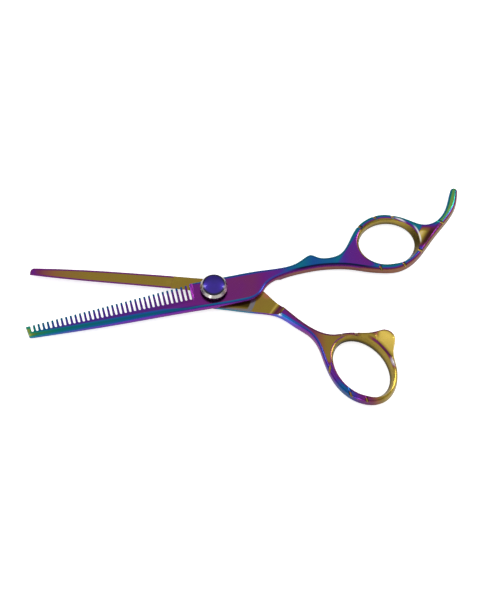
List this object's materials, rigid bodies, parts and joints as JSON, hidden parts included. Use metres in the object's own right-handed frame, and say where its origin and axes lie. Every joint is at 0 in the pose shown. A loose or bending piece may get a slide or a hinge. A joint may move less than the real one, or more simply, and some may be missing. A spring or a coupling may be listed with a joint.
{
  "type": "thinning shears",
  "caption": "Hairdresser's thinning shears: comb-toothed blade over a plain blade, dial-tension pivot, offset shanks, two finger rings and a curved finger rest.",
  "frame": {"origin": "on the pivot axis, at the flat back of the pivot screw's head", "axes": "+Z along the pivot towards the dial, +X from the blade tips towards the finger rings, +Y across the shears towards the curved finger rest"},
  "size_m": [0.1643, 0.0913, 0.0095],
  "materials": {
    "coated_steel_front": "mirror-polished steel with a rainbow titanium coating",
    "coated_steel_rear": "mirror-polished steel with a rainbow titanium coating",
    "bare_steel": "turned bare steel",
    "bush_metal": "sintered bearing bronze",
    "nylon": "black nylon",
    "spring_steel": "rolled spring steel",
    "polished_steel": "polished steel",
    "blue_cap": "deep blue-violet gloss"
  },
  "bodies": {
    "finger_half": {"toothed_half": "coated_steel_front", "pivot_bush": "bush_metal"},
    "thumb_half": {"plain_half": "coated_steel_rear", "pivot_screw": "bare_steel", "friction_washer": "nylon", "click_spring": "spring_steel"},
    "tension_dial": {"tension_knob": "polished_steel", "knob_cap": "blue_cap"}
  },
  "joints": [
    {"name": "blade_pivot", "type": "hinge", "parent": "finger_half", "child": "thumb_half", "pos_m": [0, 0, 0.0029], "axis": [0, 0, 1], "range_deg": [-90, 20.9]},
    {"name": "dial_turn", "type": "hinge", "parent": "thumb_half", "child": "tension_dial", "pos_m": [0, 0, 0.0065], "axis": [0, 0, 1], "range_deg": [-90, 90]}
  ]
}
